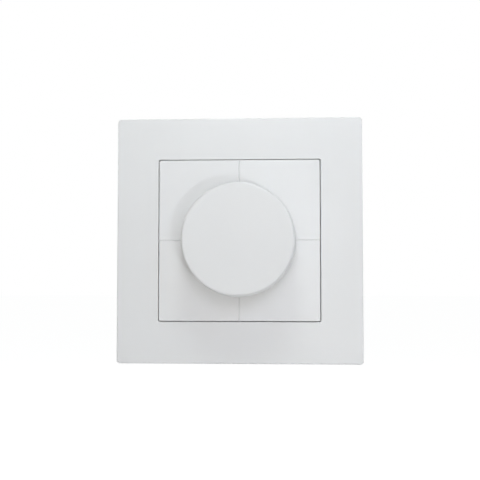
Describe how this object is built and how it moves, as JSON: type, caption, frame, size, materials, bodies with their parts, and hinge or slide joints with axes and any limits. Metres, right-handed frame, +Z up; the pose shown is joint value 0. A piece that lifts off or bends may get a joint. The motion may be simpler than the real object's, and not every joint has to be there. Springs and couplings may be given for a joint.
{
  "type": "dimmer switch",
  "caption": "Flush wall dimmer: square cover frame and centre plate, large round push-and-turn knob, potentiometer, electronics and screw terminals in a shallow insert.",
  "frame": {"origin": "on the wall plane, on the knob's axis, midway between the two box screws", "axes": "+X to the right as seen from the room, +Z up the wall, the front faces -Y"},
  "size_m": [0.0844, 0.0421, 0.0844],
  "materials": {
    "frame_plastic": "satin moulded white",
    "plate_plastic": "satin moulded white",
    "knob_plastic": "satin moulded white",
    "housing_plastic": "moulded light grey",
    "terminal_plastic": "moulded dark grey",
    "pot_plastic": "moulded black",
    "white_plastic": "moulded off-white",
    "galvanised_steel": "zinc plated sheet",
    "screw_steel": "zinc plated",
    "spring_steel": "plain spring wire",
    "nickel_brass": "nickel plated",
    "die_cast_zinc": "plated die casting",
    "copper_alloy": "tinned strip",
    "fibre_board": "glass fibre laminate",
    "track_laminate": "phenolic laminate",
    "ferrite": "coated powder core",
    "enamelled_copper": "varnished wire",
    "film_case": "moulded box",
    "can_sleeve": "shrunk sleeve",
    "aluminium_sheet": "blanked sheet",
    "silicone_pad": "soft sheet",
    "epoxy_black": "moulded epoxy",
    "ceramic_parts": "fired ceramic",
    "trimmer_blue": "moulded blue"
  },
  "bodies": {
    "insert": {"cover_frame": "frame_plastic", "centre_plate": "plate_plastic", "collar_nut": "nickel_brass", "collar_washer": "galvanised_steel", "pot_bushing": "die_cast_zinc", "pot_housing": "pot_plastic", "pot_pins": "copper_alloy", "track_board": "track_laminate", "switch_housing": "pot_plastic", "switch_base": "pot_plastic", "switch_contacts": "copper_alloy", "return_spring": "spring_steel", "support_ring": "galvanised_steel", "housing_front": "housing_plastic", "housing_back": "housing_plastic", "housing_screws": "screw_steel", "circuit_board": "fibre_board", "choke_core": "ferrite", "choke_winding": "enamelled_copper", "film_capacitor": "film_case", "storage_capacitor": "can_sleeve", "fuse": "epoxy_black", "trimmer_body": "trimmer_blue", "power_transistors": "epoxy_black", "thermal_pad": "silicone_pad", "heat_spreader": "aluminium_sheet", "controller_chip": "epoxy_black", "bridge_rectifier": "epoxy_black", "surface_parts": "ceramic_parts", "terminal_block": "terminal_plastic", "busbars": "copper_alloy"},
    "wiper": {"wiper_rotor": "white_plastic", "wiper_contact": "copper_alloy"},
    "knob": {"knob": "knob_plastic", "knob_clamp_ring": "spring_steel", "pot_shaft": "white_plastic", "shaft_clip": "spring_steel"},
    "plunger": {"switch_plunger": "white_plastic", "contact_bridge": "copper_alloy"},
    "level_adjuster": {"trimmer_spindle": "white_plastic"},
    "screw_1": {"terminal_screw_1": "screw_steel"},
    "clamp_1": {"terminal_clamp_1": "galvanised_steel"},
    "screw_2": {"terminal_screw_2": "screw_steel"},
    "clamp_2": {"terminal_clamp_2": "galvanised_steel"},
    "screw_3": {"terminal_screw_3": "screw_steel"},
    "clamp_3": {"terminal_clamp_3": "galvanised_steel"}
  },
  "joints": [
    {"name": "knob_turn", "type": "hinge", "parent": "insert", "child": "wiper", "pos_m": [0, -0.0148, 0], "axis": [0, 1, 0], "range_deg": [-140, 140]},
    {"name": "knob_push", "type": "slide", "parent": "wiper", "child": "knob", "axis": [0, 1, 0], "range_m": [0, 0.001], "stiffness_N_per_m": 800, "springref_m": -0.003},
    {"name": "switch_travel", "type": "slide", "parent": "insert", "child": "plunger", "axis": [0, 1, 0], "range_m": [0, 0.001], "deforming": ["return_spring"]},
    {"name": "level_turn", "type": "hinge", "parent": "insert", "child": "level_adjuster", "pos_m": [0.0152, 0, -0.0063], "axis": [0, 1, 0], "range_deg": [-135, 135]},
    {"name": "screw_turn_1", "type": "hinge", "parent": "insert", "child": "screw_1", "pos_m": [-0.009, 0.017, -0.0242], "axis": [0, 0, 1], "range_deg": [0, 1872]},
    {"name": "clamp_rise_1", "type": "slide", "parent": "insert", "child": "clamp_1", "axis": [0, 0, -1], "range_m": [0, 0.0026]},
    {"name": "screw_turn_2", "type": "hinge", "parent": "insert", "child": "screw_2", "pos_m": [0, 0.017, -0.0242], "axis": [0, 0, 1], "range_deg": [0, 1872]},
    {"name": "clamp_rise_2", "type": "slide", "parent": "insert", "child": "clamp_2", "axis": [0, 0, -1], "range_m": [0, 0.0026]},
    {"name": "screw_turn_3", "type": "hinge", "parent": "insert", "child": "screw_3", "pos_m": [0.009, 0.017, -0.0242], "axis": [0, 0, 1], "range_deg": [0, 1872]},
    {"name": "clamp_rise_3", "type": "slide", "parent": "insert", "child": "clamp_3", "axis": [0, 0, -1], "range_m": [0, 0.0026]}
  ],
  "couplings": [
    {"joint": "switch_travel", "follows": "knob_push", "ratio": 1},
    {"joint": "screw_turn_1", "follows": "clamp_rise_1", "rad_per_m": 12566},
    {"joint": "screw_turn_2", "follows": "clamp_rise_2", "rad_per_m": 12566},
    {"joint": "screw_turn_3", "follows": "clamp_rise_3", "rad_per_m": 12566}
  ]
}
